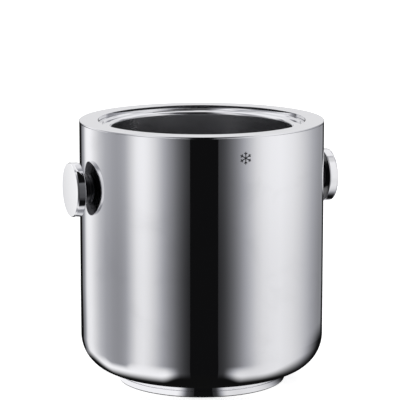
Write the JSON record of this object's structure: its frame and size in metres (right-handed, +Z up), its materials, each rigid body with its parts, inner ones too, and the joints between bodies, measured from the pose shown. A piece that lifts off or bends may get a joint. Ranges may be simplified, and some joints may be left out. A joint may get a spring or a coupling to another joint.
{
  "type": "champagne bucket",
  "caption": "Round polished steel champagne bucket with disc side knobs, a flat stepped rim, a lift-out inner liner and a low ring foot.",
  "frame": {"origin": "middle of the foot's underside, on the surface that the bucket stands on", "axes": "+Z up along the bucket's axis, +X through the two knobs, -Y towards the front, where the small mark is"},
  "size_m": [0.248, 0.22, 0.238],
  "materials": {
    "polished_steel": "mirror-polished stainless steel with faint polishing lines and handling smudges",
    "liner_steel": "satin spun stainless steel",
    "plain_steel": "plain zinc-bright steel hardware",
    "silicone": "translucent grey silicone",
    "black_rubber": "matt black rubber"
  },
  "bodies": {
    "bucket_body": {"outer_shell": "polished_steel", "rim_ring": "polished_steel", "liner_gasket": "silicone", "foot_ring": "polished_steel", "foot_pad": "black_rubber", "foot_backing_ring": "plain_steel", "foot_screw_1": "plain_steel", "foot_nut_1": "plain_steel", "foot_screw_2": "plain_steel", "foot_nut_2": "plain_steel", "foot_screw_3": "plain_steel", "foot_nut_3": "plain_steel", "knob_head_right": "polished_steel", "knob_neck_right": "polished_steel", "knob_seat_right": "polished_steel", "knob_screw_right": "plain_steel", "knob_spring_washer_right": "plain_steel", "knob_backing_disc_right": "plain_steel", "knob_head_left": "polished_steel", "knob_neck_left": "polished_steel", "knob_seat_left": "polished_steel", "knob_screw_left": "plain_steel", "knob_spring_washer_left": "plain_steel", "knob_backing_disc_left": "plain_steel"},
    "liner": {"inner_liner": "liner_steel"}
  },
  "joints": [
    {"name": "liner_lift", "type": "slide", "parent": "bucket_body", "child": "liner", "axis": [0, 0, 1], "range_m": [0, 0.22]}
  ]
}
